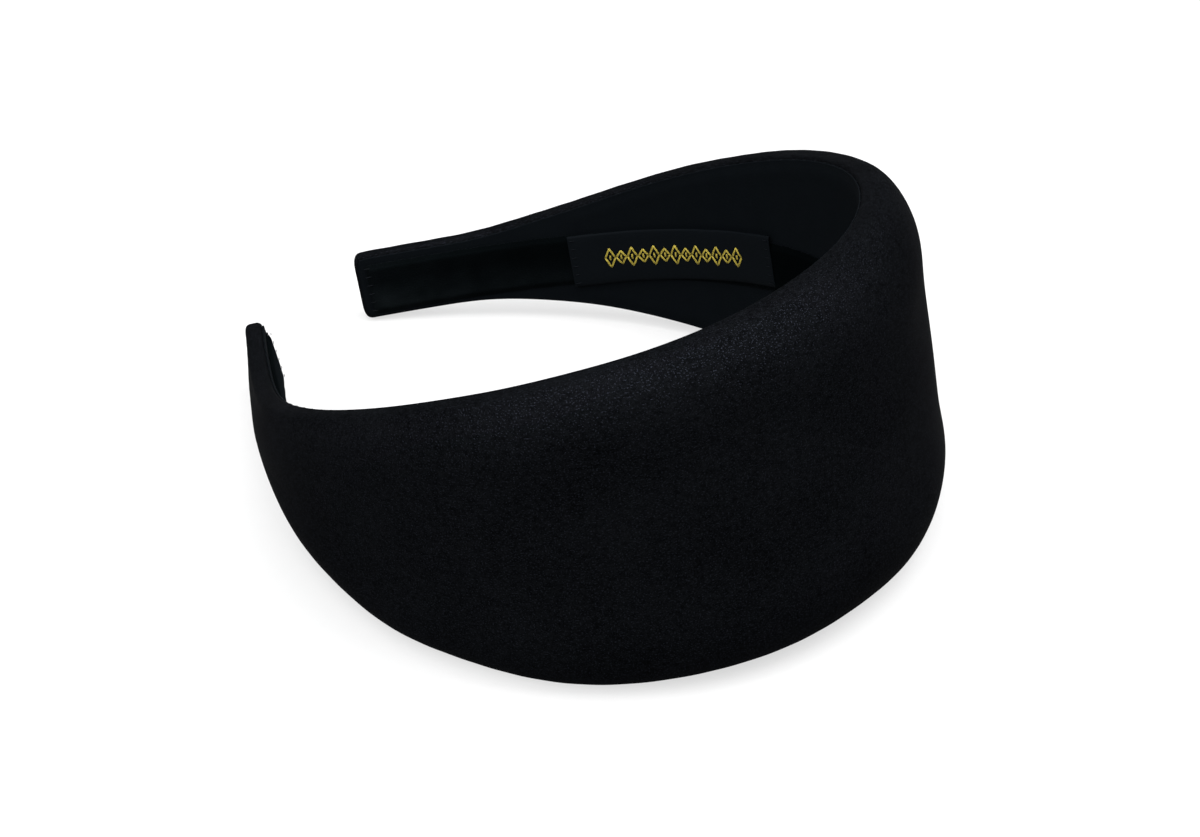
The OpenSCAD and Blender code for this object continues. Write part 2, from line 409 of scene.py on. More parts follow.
# %% Loft the cover
ROW_STEP = 1.3 * MM
END_ROUND = 1.0 * MM
TIP_ROWS, END_ROWS = 9, 6  # over the shaped tip, and over its rounded end

inner_rows = even_rows(arm - TIP_SHAPED, ROW_STEP)
tip_bend = np.linspace(0, np.pi / 2, TIP_ROWS + 1)[1:]
tip_rows = arm - END_ROUND - (TIP_SHAPED - END_ROUND) * (1 - np.sin(tip_bend))
end_bend = np.linspace(0, np.pi / 2, END_ROWS + 1)[1:]
end_rows = arm - END_ROUND * (1 - np.sin(end_bend))
half_rows = np.concatenate([tip_rows, end_rows])
half_shrink = np.concatenate([0 * tip_rows, END_ROUND * (1 - np.cos(end_bend))])
cover_rows = np.concatenate([-half_rows[::-1], inner_rows, half_rows])
cover_shrink = np.concatenate([half_shrink[::-1], 0 * inner_rows, half_shrink])
rings, ways = (np.array(each) for each in zip(*map(cover_ring, cover_rows, cover_shrink)))
flat = np.stack([np.broadcast_to(cover_rows[:, None], ways.shape), ways], -1)
print("cover has", *rings.shape[:2], "points along and round the band")

# %% [markdown]
# Foam presses on its cloth from inside. The cloth is held at the rim and gives most far from it,
# and more where the band is wide. A short cloth simulation finds out how much: a coarse copy of
# the cover is pinned along its edges and tips and blown up a little, with gravity off. Its moves
# are evened out, kept under a limit and added to the fine sections, so the seams stay crisp.

# %% Let foam press on a closed grid
PRESS_FRAMES = 20
PRESSURE = 4.0
STRETCH = 0.05  # stiffness of the yarns, low because the copy is small


def pressed(points, hold):
    """How far each point of a closed grid moves under the pressure of the foam."""
    places = np.zeros((points.shape[0], points.shape[1] + 1, 2))
    copy = cloth_piece("pressed_copy", points, places, caps="round")
    pins = copy.vertex_groups.new(name="pins")
    for corner, weight in enumerate(hold.ravel()):
        pins.add([corner], float(weight), "REPLACE")
    cloth = copy.modifiers.new("cloth", "CLOTH")
    cloth.settings.tension_stiffness = cloth.settings.compression_stiffness = STRETCH
    cloth.settings.shear_stiffness = cloth.settings.bending_stiffness = STRETCH / 2
    cloth.settings.use_pressure, cloth.settings.uniform_pressure_force = True, PRESSURE
    cloth.settings.vertex_group_mass = pins.name
    cloth.settings.effector_weights.gravity = 0
    cloth.collision_settings.use_collision = False
    for frame_number in range(1, PRESS_FRAMES + 1):
        bpy.context.scene.frame_set(frame_number)
    still = copy.evaluated_get(bpy.context.evaluated_depsgraph_get()).data
    ends = np.array([corner.co for corner in still.vertices]).reshape(points.shape)
    bpy.data.objects.remove(copy)
    bpy.context.scene.frame_set(1)
    return ends - points


print("the foam presses for", PRESS_FRAMES, "frames")

# %% Press a coarse copy of the cover
PRESS_ROWS, PRESS_COLUMNS = 101, 30
HELD_EDGE, FREE_EDGE = 2 * MM, 12 * MM  # from the rim: pinned up to the first, free from the second
HELD_TIP = 14 * MM

press_row = np.linspace(0, len(rings) - 1, PRESS_ROWS).round().astype(int)
press_column = np.linspace(0, rings.shape[1], PRESS_COLUMNS, endpoint=False).round().astype(int)
from_rim = np.minimum(ways - ways[:, :1], ways[:, ARCH_POINTS - 1:ARCH_POINTS] - ways)[:, :-1]
edge_hold = np.clip((FREE_EDGE - from_rim) / (FREE_EDGE - HELD_EDGE), 0, 1)
tip_hold = np.clip((np.abs(cover_rows) - arm + 2 * HELD_TIP) / HELD_TIP, 0, 1)[:, None]
hold = np.maximum(edge_hold, tip_hold)
coarse_grid = np.ix_(press_row, press_column)
moves = pressed(rings[coarse_grid], hold[coarse_grid])
lengths = np.linalg.norm(moves, axis=-1, keepdims=True)
usual, most, longest = np.round(np.percentile(lengths, [50, 90, 100]) / MM, 2)
print("the foam moves half of the cloth by", usual, "mm at most, nine tenths by", most, "and all by", longest)

# %% Carry the moves to the fine cover
PRESS_LIMIT = 0.6 * MM
EVENED = 8  # rounds in which each move is mixed with those of its neighbours
SHORTEST = 1e-9  # keeps a point that doesn't move from a division by zero


def finer(values, places, count, period=None):
    """Values for all rows of the fine cover, between those of the coarse copy."""
    columns = values.reshape(len(values), -1).T
    between = [np.interp(np.arange(count), places, column, period=period) for column in columns]
    return np.stack(between, -1).reshape(count, *values.shape[1:])


moves = moves * np.tanh(lengths / PRESS_LIMIT) * PRESS_LIMIT / np.maximum(lengths, SHORTEST)
moves = finer(moves, press_row, len(rings)).transpose(1, 0, 2)
moves = finer(moves, press_column, rings.shape[1], period=rings.shape[1]).transpose(1, 0, 2)
for axis in (0, 1):
    for _ in range(EVENED):
        moves = (np.roll(moves, 1, axis) + 2 * moves + np.roll(moves, -1, axis)) / 4
rings += moves * (1 - hold[..., None])
cover = cloth_piece("cover", rings, flat, caps="round")
made(cover)

# %% [markdown]
# Cloth has a thickness, even if it is only a fifth of a millimetre: a folded edge shows two
# layers, and light doesn't come through. A sheet is first a grid of points in its middle, and
# then both sides are put half the thickness away from it.

# %% Give a sheet its thickness
SQUARE_CM = 0.0001


def unit(vectors):
    """The same directions, each with length 1."""
    return vectors / np.linalg.norm(vectors, axis=-1, keepdims=True)


def thick_sheet(name, middle, flat, thick):
    """A sheet round a grid of points in the middle of the cloth, closed along all its edges."""
    normal = unit(np.cross(np.gradient(middle, axis=0), np.gradient(middle, axis=1)))
    both = np.concatenate([middle + normal * thick / 2, (middle - normal * thick / 2)[:, ::-1]], 1)
    both_flat = np.concatenate([flat, flat[:, ::-1], flat[:, :1]], 1)
    return cloth_piece(name, both, both_flat, caps="pairs")


def cloth_area(piece):
    """The area of the cloth itself in cm2, which is half of a closed sheet's surface."""
    return round(sum(face.area for face in piece.data.polygons) / 2 / SQUARE_CM, 1)


print("a sheet has two sides, joined along its edges and in pairs at its ends")

# %% [markdown]
# The lining closes the inner face. It is cut wider than it shows, its edges are turned under, and
# it is slip-stitched along the rim. Each stitch pulls the fold down a little, which gives the edge
# its row of faint puckers. Between them the turned edge makes a low ridge. The sheet is modelled
# as it lies, because it is stitched flat and nothing of it hangs.

# %% Measure out the lining
LINING_THICK = 0.15 * MM
LINING_MARGIN = 0.7 * MM
LINING_UNDER = -0.08 * MM  # out of the layer turned under
LINING_TIP, LINING_WIDE = -0.32 * MM, -0.65 * MM  # out of the layer that shows, on a narrow and a wide part
NARROW, WIDE = 9 * MM, 20 * MM  # half widths of these parts
STITCH_PITCH = 4 * MM
PUCKER = 0.1 * MM
LINING_END = arm - 0.6 * MM
LINING_ROWS = 1.0 * MM


def pulled(at):
    """How much the stitches pull, from 0 between two of them to 1 on each."""
    return 0.5 + 0.5 * np.cos(2 * np.pi * at / STITCH_PITCH)


def lining_edge(at):
    """Half the width of the lining where its fold lies."""
    return width_at(at) - LINING_MARGIN - end_cut(at, LINING_END, TIP_CORNER) - PUCKER * pulled(at)


def by_width(at, narrow, wide):
    """A measure that has one value on the narrow parts of the band and another on the wide ones."""
    return narrow + (wide - narrow) * np.clip((width_at(at) - NARROW) / (WIDE - NARROW), 0, 1)


def lining_top(at):
    """Where the middle of the layer that shows lies, away from the edges."""
    return by_width(at, LINING_TIP, LINING_WIDE)


lining_at = even_rows(LINING_END, LINING_ROWS)[:, None]
edge, face = lining_edge(lining_at), lining_top(lining_at)
fold_radius = (LINING_UNDER - LINING_TIP) / 2
print("the lining is", round(2 * edge[0, 0] / MM, 1), "to", round(2 * edge.max() / MM, 1), "mm wide")

# %% Line the inner face
LINING_TURNED = 5 * MM
TURNED_SHARES = np.array([[1, 0.66, 0.33, 0]])  # points over the turned part, from the cut to the fold
FOLD_POINTS = 5
ACROSS_POINTS = 41
TUCK = 1.6 * MM  # over which the lining comes up to its edge
RIDGE, RIDGE_REACH = 0.08 * MM, 1.4 * MM
RIDGE_FROM = 1.3 * LINING_TIP  # there is a ridge where the layer lies further in than this
PULL_DEPTH, PULL_REACH = 0.2, 1.0 * MM  # share by which a stitch presses it down, and how far
LINING_SLACK, SLACK_REACH = 0.05 * MM, 25 * MM
END_PRESSED = 0.4  # share by which both ends are pressed flat

fold_bend = np.linspace(-np.pi / 2, np.pi / 2, FOLD_POINTS + 2)[1:-1]
under = edge - fold_radius - LINING_TURNED * TURNED_SHARES
under_out = LINING_UNDER + 0 * under
fold_height = edge - fold_radius + fold_radius * np.cos(fold_bend)
fold_out = (LINING_UNDER + LINING_TIP) / 2 - fold_radius * np.sin(fold_bend) + 0 * edge
across_height = (edge - fold_radius) * np.sin(np.linspace(1, -1, ACROSS_POINTS) * np.pi / 2)
inside_edge = edge - fold_radius - np.abs(across_height)
pull = pulled(lining_at) * np.exp(-inside_edge / PULL_REACH)
across_out = LINING_TIP + (face - LINING_TIP) * (1 - hump(inside_edge, 0, TUCK))
across_out -= RIDGE * hump(inside_edge, LINING_TURNED / 2, RIDGE_REACH) * (face < RIDGE_FROM)
slack = LINING_SLACK * uneven(21, SLACK_REACH, lining_at, across_height)
across_out = across_out * (1 - PULL_DEPTH * pull) + slack * (1 - np.exp(-inside_edge / TUCK))
height = np.concatenate([under, fold_height, across_height, -fold_height[:, ::-1], -under[:, ::-1]], 1)
out = np.concatenate([under_out, fold_out, across_out, fold_out[:, ::-1], under_out], 1)
curl = np.clip((np.abs(lining_at) - LINING_END + 2 * fold_radius) / (2 * fold_radius), 0, 1)
out = LINING_UNDER + (out - LINING_UNDER) * (1 - END_PRESSED * curl**2)
way = np.append(0 * edge, np.cumsum(np.hypot(np.diff(out), np.diff(height)), 1), 1)
way -= way.mean(1, keepdims=True)
flat = np.stack([lining_at + 0 * way, way], -1)
lining = thick_sheet("lining_cloth", on_band(lining_at, out, height), flat, LINING_THICK)
made(lining)
print("cloth of the lining:", cloth_area(lining), "cm2")

# %% [markdown]
# A velvet ribbon runs along the middle of the lining and keeps the band from slipping. It has a
# thin woven selvedge on both sides and a thick pile between them, whose edges are rounded because
# the outer tufts lean outwards.

# %% Measure out the ribbon
RIBBON_HALF = 6 * MM
RIBBON_HEIGHT = -0.4 * MM  # how far its middle lies under the middle of the band
RIBBON_SUNK = 0.02 * MM  # pressed into the lining
RIBBON_END = arm - 2.6 * MM
RIBBON_ROWS = 1.0 * MM
PILE_THICK, PILE_TIP = 0.85 * MM, 0.8 * MM  # where the band is wide and where it is narrow


def ribbon_foot(at):
    """Where the back of the ribbon lies."""
    return lining_top(at) - LINING_THICK / 2 + RIBBON_SUNK


def pile_thick(at):
    """How far the pile stands up from the ribbon's back."""
    return by_width(at, PILE_TIP, PILE_THICK)


ribbon_at = even_rows(RIBBON_END, RIBBON_ROWS)[:, None]
print("the ribbon covers", round(2 * RIBBON_END / MM, 1), "mm of the inner face")

# %% Lay the velvet ribbon
SELVEDGE, SELVEDGE_THICK = 0.7 * MM, 0.32 * MM
SELVEDGE_UNEVEN, SELVEDGE_REACH = 0.05 * MM, 7 * MM
PILE_ROUND = 0.8 * MM
PILE_UNEVEN, PILE_REACH = 0.05 * MM, 4 * MM
PILE_EDGE_UNEVEN, PILE_EDGE_REACH = 0.08 * MM, 9 * MM
CUT_ROUND = 0.8  # how far the pile is rounded off at both cut ends, up to 1
PILE_POINTS, BASE_POINTS = 31, 8

pile_half = RIBBON_HALF - SELVEDGE + PILE_EDGE_UNEVEN * uneven(31, PILE_EDGE_REACH, ribbon_at)
pile_height = pile_half * np.sin(np.linspace(-np.pi / 2, np.pi / 2, PILE_POINTS))
edge_reach = np.clip(PILE_ROUND - (pile_half - np.abs(pile_height)), 0, PILE_ROUND) / PILE_ROUND
pile = SELVEDGE_THICK + (pile_thick(ribbon_at) - SELVEDGE_THICK) * np.sqrt(1 - edge_reach**2)
pile = pile + PILE_UNEVEN * uneven(32, PILE_REACH, ribbon_at, pile_height) * (1 - edge_reach)
cut_reach = np.clip((np.abs(ribbon_at) - RIBBON_END + PILE_ROUND) / PILE_ROUND, 0, 1)
pile = SELVEDGE_THICK + (pile - SELVEDGE_THICK) * np.sqrt(1 - CUT_ROUND * cut_reach**2)
side = np.array([[1.0, 1.0]]) * (RIBBON_HALF + SELVEDGE_UNEVEN * uneven(33, SELVEDGE_REACH, ribbon_at))
rise = np.array([[0, SELVEDGE_THICK]]) + 0 * side
base = RIBBON_HALF * np.linspace(1, -1, BASE_POINTS)[None, 1:-1] + 0 * ribbon_at
height = np.concatenate([-side, pile_height, side, base], 1) + RIBBON_HEIGHT
lift = np.concatenate([rise, pile, rise[:, ::-1], 0 * base], 1)
way = np.concatenate([height - RIBBON_HEIGHT, -side[:, :1]], 1)
grid = on_band(ribbon_at, ribbon_foot(ribbon_at) - lift, height)
flat = np.stack([ribbon_at + 0 * way, way], -1)
grip_ribbon = cloth_piece("grip_ribbon_velvet", grid[:, ::-1], flat[:, ::-1], caps="round")
made(grip_ribbon)

# %% [markdown]
# A woven satin label is stitched over the ribbon on one arm. Both ends are folded under, so the
# label is thickest there, and the middle lies a little lower. Near one end it isn't pulled quite
# flat, and its long edges droop a little. The path runs along the label this time: under, round
# the fold, over, and under again.

# %% Fold the label
LABEL_HALF = 6.25 * MM
LABEL_START, LABEL_STOP = 90 * MM, 141 * MM
LABEL_TURNED = 6 * MM
LABEL_THICK = 0.14 * MM
LABEL_UNDER = -0.1 * MM  # out from the pile to the middle of the layer folded under
LABEL_TOP = LABEL_UNDER - 0.22 * MM
LABEL_SINK, SINK_LENGTH = 0.1 * MM, 2 * MM
LABEL_STEP = 0.6 * MM
UNDER_POINTS = 5

label_fold = (LABEL_UNDER - LABEL_TOP) / 2
fold_along, fold_down = label_fold * np.cos(fold_bend), label_fold * np.sin(fold_bend)
over_points = round((LABEL_STOP - LABEL_START) / LABEL_STEP)
over_at = np.linspace(LABEL_START + label_fold, LABEL_STOP - label_fold, over_points)
first, last = over_at[0], over_at[-1]
under_way = LABEL_TURNED * np.linspace(1, 0, UNDER_POINTS)
under_out = LABEL_UNDER + 0 * under_way
label_at = np.concatenate([first + under_way, first - fold_along, over_at,
                           last + fold_along, last - under_way[::-1]])
from_fold = np.minimum(over_at - first, last - over_at)
sink = LABEL_SINK * np.clip((from_fold - LABEL_TURNED) / SINK_LENGTH, 0, 1)
middle_out = (LABEL_UNDER + LABEL_TOP) / 2
label_out = np.concatenate([under_out, middle_out - fold_down, LABEL_TOP + sink,
                            middle_out + fold_down, under_out])
label_way = np.append(0, np.cumsum(np.hypot(np.diff(label_at), np.diff(label_out))))
on_top = ((label_out < middle_out) & (label_at > LABEL_START))[:, None]
print("the label is folded from a strip", round(label_way[-1] / MM, 1), "mm long")

# %% Sew on the label
LABEL_COLUMNS = 25
LABEL_UP = 0.75 * MM  # over the middle of the ribbon
LABEL_SLANT = 0.04  # up towards the crown, for each unit of length
BUCKLE, BUCKLE_PLACE, BUCKLE_REACH = 0.3 * MM, 106 * MM, 3.2 * MM
BUCKLE_SLANT = 0.25
BUCKLE_FADE = 1.2  # angle over which it flattens out towards the long edges
LABEL_UNEVEN, LABEL_REACH = 0.05 * MM, 12 * MM
LABEL_PRESSED = -0.03 * MM  # the lowest that it lies in the pile
DROOP, DROOP_POWER = 0.2 * MM, 8  # of both edges, and how close to them it stays
LOWER_DROOP, LOWER_START = 0.12 * MM, 0.6  # of the lower edge, from this share of the half width


def label_middle(at):
    """Height of the label's middle line, which slants a little across the ribbon."""
    return RIBBON_HEIGHT + LABEL_UP + LABEL_SLANT * ((LABEL_START + LABEL_STOP) / 2 - at)


def label_lift(at, height):
    """How far the label stands off the pile where it isn't pulled flat."""
    buckle = BUCKLE * hump(at - BUCKLE_SLANT * height, BUCKLE_PLACE, BUCKLE_REACH)
    buckle = buckle * np.cos(height / LABEL_HALF * BUCKLE_FADE)
    return np.clip(buckle + LABEL_UNEVEN * uneven(41, LABEL_REACH, at, height), LABEL_PRESSED, None)


def pile_top(at):
    """Where the top of the ribbon's pile lies."""
    return ribbon_foot(at) - pile_thick(at)


label_height = LABEL_HALF * np.linspace(-1, 1, LABEL_COLUMNS)
droop = DROOP * (np.abs(label_height) / LABEL_HALF) ** DROOP_POWER
low_part = np.clip(-label_height / LABEL_HALF - LOWER_START, 0, 1) / (1 - LOWER_START)
droop += LOWER_DROOP * low_part**2
row_at, row_out = label_at[:, None], label_out[:, None]
out = pile_top(row_at) + row_out - label_lift(row_at, label_height) * on_top + droop
flat = np.stack(np.broadcast_arrays((label_way - label_way.mean())[:, None], label_height), -1)
grid = on_band(row_at, out, label_height + label_middle(row_at))
label = thick_sheet("label_satin", grid, flat, LABEL_THICK)
made(label)
print("cloth of the label:", cloth_area(label), "cm2")

# %% [markdown]
# Threads are little tubes, thinner where they dive into the cloth. One function makes as many as
# are needed in one piece: each thread is a row of points with its own thickness along the way.

# %% Make threads
THREAD_SIDES = 6
THREAD_ENDS = 0.35  # thickness of both ends, as a share of the thread's
THREAD_FULL = 6  # the higher, the longer it stays thick
SLANTED = [0.3, 0.5, 0.8]  # added to a thread's direction, it gives another one


def threads(name, paths, radius, ends=THREAD_ENDS):
    """One piece of many short threads. paths has a row of points for each thread."""
    count, points = paths.shape[:2]
    ahead = unit(np.gradient(paths, axis=1))
    side = unit(np.cross(ahead, ahead + SLANTED))
    other = np.cross(ahead, side)
    place = np.linspace(-1, 1, points)
    thick = radius * (ends + (1 - ends) * np.sqrt(1 - place**THREAD_FULL))[None, :, None, None]
    round_it = np.linspace(0, 2 * np.pi, THREAD_SIDES, endpoint=False)[None, None, :, None]
    spokes = np.cos(round_it) * side[:, :, None] + np.sin(round_it) * other[:, :, None]
    ring = np.arange(THREAD_SIDES)
    after = (ring + 1) % THREAD_SIDES
    faces = []
    for thread in range(count):
        start = thread * points * THREAD_SIDES
        for point in range(points - 1):
            low = start + point * THREAD_SIDES
            high = low + THREAD_SIDES
            faces += np.stack([low + ring, low + after, high + after, high + ring], 1).tolist()
        faces += [(start + ring[::-1]).tolist(), (start + (points - 1) * THREAD_SIDES + ring).tolist()]
    return new_piece(name, paths[:, :, None] + thick * spokes, faces)


print("threads have", THREAD_SIDES, "sides")

# %% [markdown]
# Slip stitches hold the lining: a short thread comes out of its fold and goes into the cover,
# every four millimetres. The same black thread holds the label down at both ends and the ribbon
# at both tips.

# %% Slip stitches along the lining
STITCH_POINTS = 5
SLIP_LENGTH = 1.2 * MM
SLIP_PAST, SLIP_SLANT = 0.12 * MM, 0.3 * MM  # past the lining's fold, and across it from end to end
SLIP_OVER, SLIP_RISE = 0.02 * MM, 0.12 * MM  # over the inner face, at the ends and in the middle
SLIP_DIVE = 0.1 * MM  # from the end in the lining to the end in the cover

stitch_place = np.linspace(-0.5, 0.5, STITCH_POINTS)[None, :]
bow = 1 - (2 * stitch_place) ** 2  # from 0 at the ends of a stitch to 1 in its middle
last_slip = math.floor(LINING_END / STITCH_PITCH)
slip_at = np.arange(-last_slip, last_slip + 1) * STITCH_PITCH
slip_at = slip_at[np.abs(slip_at) < LINING_END - TIP_CORNER][:, None]
slip_out = -SLIP_OVER - SLIP_RISE * bow - SLIP_DIVE * stitch_place
slips = []
for side in (-1, 1):
    slip_height = side * (lining_edge(slip_at) + SLIP_PAST - SLIP_SLANT * stitch_place)
    slips.append(on_band(slip_at + SLIP_LENGTH * stitch_place, slip_out, slip_height))
print(len(slip_at), "slip stitches on each side")

# %% Bar stitches, and all of the sewing thread
THREAD_RADIUS = 0.08 * MM
BAR_LENGTH = 1.5 * MM
BAR_PITCH = 2.1 * MM
BAR_RISE = 0.1 * MM
BAR_INSIDE = 1.0 * MM  # from the label's fold
RIBBON_BAR_INSIDE = 0.2 * MM  # from the ribbon's cut ends


def bars(places, ground, over, half, middle):
    """Short bar stitches in rows across the band at these places, over the ground."""
    heights = np.arange(-half, half + BAR_PITCH / 2, BAR_PITCH)
    paths = []
    for place in places:
        here = place + BAR_LENGTH * stitch_place
        paths.append(on_band(here, ground(here) + over - BAR_RISE * bow, heights[:, None] + middle(here)))
    return np.concatenate(paths)


label_bars = bars([LABEL_START + BAR_INSIDE, LABEL_STOP - BAR_INSIDE],
                  pile_top, LABEL_TOP - LABEL_THICK / 2, LABEL_HALF - BAR_INSIDE, label_middle)
ribbon_bars = bars([RIBBON_BAR_INSIDE - RIBBON_END, RIBBON_END - RIBBON_BAR_INSIDE],
                   ribbon_foot, -PILE_TIP, RIBBON_HALF - BAR_INSIDE, lambda here: RIBBON_HEIGHT)
stitches = threads("sewing_thread", np.concatenate([*slips, label_bars, ribbon_bars]), THREAD_RADIUS)
made(stitches)

# %% [markdown]
# The label carries a small woven border in gold thread: a row of tall and low lozenges in turn, a
# plain pattern of the kind that any ribbon might have. Each side is two short stitches next to
# each other, so the light breaks up on it as it does on real embroidery.

# %% Draw the lozenges
GOLD_SPACING = 0.21 * MM
GOLD_PLIES = 2  # stitches side by side in a stroke
LOZENGES = 13
LOZENGE_PITCH = 2.66 * MM
LOZENGE_HALF = 1.2 * MM  # along the label
LOZENGE_TALL, LOZENGE_LOW = 2.3 * MM, 1.6 * MM  # half their heights, in turn
HEART_HALF = 0.6 * MM  # of the bar in the middle of each
ROW_MIDDLE = 115.7 * MM
ROW_HEIGHT = 0.4 * MM
GOLD_POINTS = 5

gold_place = np.linspace(0, 1, GOLD_POINTS)[:, None]
sides = [((-1, 0), (0, 1)), ((0, 1), (1, 0)), ((1, 0), (0, -1)), ((0, -1), (-1, 0))]
strokes = []
for k in range(LOZENGES):
    middle = np.array([ROW_MIDDLE + (k - (LOZENGES - 1) / 2) * LOZENGE_PITCH, ROW_HEIGHT])
    size = np.array([LOZENGE_HALF, LOZENGE_LOW if k % 2 else LOZENGE_TALL])
    heart = HEART_HALF / size * [0, 1]
    for start, stop in [*sides, (-heart, heart)]:
        start, stop = middle + size * start, middle + size * stop
        side = unit(np.array([start[1] - stop[1], stop[0] - start[0]])) * GOLD_SPACING
        plies = [side * (ply - (GOLD_PLIES - 1) / 2) for ply in range(GOLD_PLIES)]
        strokes += [start + (stop - start) * gold_place + aside for aside in plies]
strokes = np.array(strokes)
print(len(strokes), "stitches in", LOZENGES, "lozenges")

# %% Embroider the border
GOLD_RADIUS = 0.11 * MM
GOLD_ENDS = 0.6
GOLD_UNEVEN, GOLD_REACH = 0.05 * MM, 1.3 * MM
GOLD_OVER, GOLD_RISE = 0.07 * MM, 0.09 * MM  # over the satin at a stitch's ends, and more in its middle

stray = [uneven(seed, GOLD_REACH, strokes[..., 0], strokes[..., 1]) for seed in (51, 52)]
strokes += GOLD_UNEVEN * np.stack(stray, -1)
gold_at, on_label = strokes[..., 0], strokes[..., 1]
gold_over = GOLD_OVER + GOLD_RISE * (1 - (2 * gold_place[:, 0] - 1) ** 2)
satin_top = pile_top(gold_at) + LABEL_TOP + LABEL_SINK - LABEL_THICK / 2
gold_out = satin_top - gold_over - label_lift(gold_at, on_label)
gold_path = on_band(gold_at, gold_out, on_label + LABEL_SLANT * (ROW_MIDDLE - gold_at))
gold = threads("gold_border", gold_path, GOLD_RADIUS, ends=GOLD_ENDS)
made(gold)

# %% [markdown]
# Finishes are written as sums. A small wrapper lets the outputs of nodes be added and multiplied
# like numbers, and one method makes any other node, so a recipe reads from the cloth to the
# shader in the order in which a dyer would think of it.

# %% Values that can be used in sums


class Flow:
    """A value that changes over a surface, and can be used in sums."""

    def __init__(self, finish, socket):
        self.finish, self.socket = finish, socket

    def sum(self, kind, first, second):
        return self.finish.node("Math", {"operation": kind}, {0: first, 1: second})

    def __add__(self, other):
        return self.sum("ADD", self, other)

    def __sub__(self, other):
        return self.sum("SUBTRACT", self, other)

    def __rsub__(self, other):
        return self.sum("SUBTRACT", other, self)

    def __mul__(self, other):
        return self.sum("MULTIPLY", self, other)

    __radd__, __rmul__ = __add__, __mul__


print("flows can be added, subtracted and multiplied")

# %% A palette for finishes


class Finish:
    """A material with one shader, filled in node by node."""

    def __init__(self, name, **uniform):
        self.material = bpy.data.materials.new(name)
        self.material.use_nodes = True
        self.nodes = self.material.node_tree.nodes
        self.shader = self.nodes["Principled BSDF"]
        self.set(**uniform)

    def put(self, socket, value):
        if isinstance(value, Flow):
            self.material.node_tree.links.new(value.socket, socket)
        else:
            socket.default_value = value

    def node(self, kind, settings=None, inputs=None, output=0):
        """Any node: its settings first, then the values or flows of its sockets."""
        node = self.nodes.new("ShaderNode" + kind)
        settings = dict(settings or {})
        stops = settings.pop("stops", None)
        for name, value in settings.items():
            setattr(node, name, value)
        if stops:
            ramp = node.color_ramp.elements
            while len(ramp) < len(stops):
                ramp.new(1)
            for element, (place, value) in zip(ramp, stops):
                element.position, element.color = place, (value, value, value, 1)
        for name, value in (inputs or {}).items():
            self.put(node.inputs[name], value)
        return Flow(self, node.outputs[output])

    def set(self, **sockets):
        """Fill sockets of the shader, named with underscores."""
        for name, value in sockets.items():
            self.put(self.shader.inputs[name.replace("_", " ")], value)

    def cloth(self):
        """Places on the flat cloth, in metres."""
        return self.node("UVMap", {"uv_map": CLOTH_MAP})

    def stretched(self, places, scale):
        return self.node("VectorMath", {"operation": "MULTIPLY"}, {0: places, 1: scale})

    def noise(self, places, size, detail):
        """Soft patches of about this size, from 0 to 1."""
        inputs = {"Vector": places, "Scale": 1 / size, "Detail": detail}
        return self.node("TexNoise", {"noise_dimensions": "3D"}, inputs)

    def ramp(self, value, *stops):
        return self.node("ValToRGB", {"stops": stops}, {"Fac": value})

    def blend(self, mask, low, high):
        """A colour between two, by a mask from 0 to 1."""
        return self.node("Mix", {"data_type": "RGBA"}, {"Factor": mask, 6: low, 7: high}, output=2)

    def bump(self, height, depth, strength):
        return self.node("Bump", None, {"Height": height, "Distance": depth, "Strength": strength})

    def glint(self, share, normal, **uniform):
        """Let a share of the surface, from 0 to 1, shine through a second shader."""
        matt = self.shader
        self.shader = self.nodes.new("ShaderNodeBsdfPrincipled")
        self.set(**uniform, Normal=normal)
        both = self.nodes.new("ShaderNodeMixShader")
        links = self.material.node_tree.links
        links.new(matt.outputs[0], both.inputs[1])
        links.new(self.shader.outputs[0], both.inputs[2])
        links.new(both.outputs[0], self.nodes["Material Output"].inputs["Surface"])
        self.put(both.inputs[0], share)
        self.shader = matt


print("palette ready")

# %% Colours as a screen shows them


def linear(shown):
    """One part of a colour, from 0 to 255 as a screen shows it, made linear for the shader."""
    share = shown / 255
    return share / 12.92 if share <= 0.04045 else ((share + 0.055) / 1.055) ** 2.4


def hue(red, green, blue):
    """A colour for the shader, from its three parts on a screen."""
    return (linear(red), linear(green), linear(blue), 1)


print("a mid grey on the screen is", round(linear(128), 3), "for the shader")

# %% [markdown]
# The cover is a black crepe with a blue cast. Crepe is woven from hard-twisted yarn that shrinks
# into tiny pebbles, and most of it drinks the light. Two sizes of grain make the pebbles, and a
# mottle of a few millimetres and slow clouds keep the dye from looking flat. Here and there a yarn
# glitters, which shows as fine cold specks on the shoulder. A second shader makes these: it is
# metallic and more bumpy, shines mostly in the specks, and only where a lamp is mirrored.

# %% Dye and grain of the crepe cover
PEBBLE, GRAIN, SPECK = 0.34 * MM, 0.9 * MM, 0.3 * MM
MOTTLE, CLOUD = 2.2 * MM, 20 * MM
PEBBLE_DEPTH, GLITTER_DEPTH = 0.06 * MM, 0.17 * MM  # of the bump under the matt and the shining shader

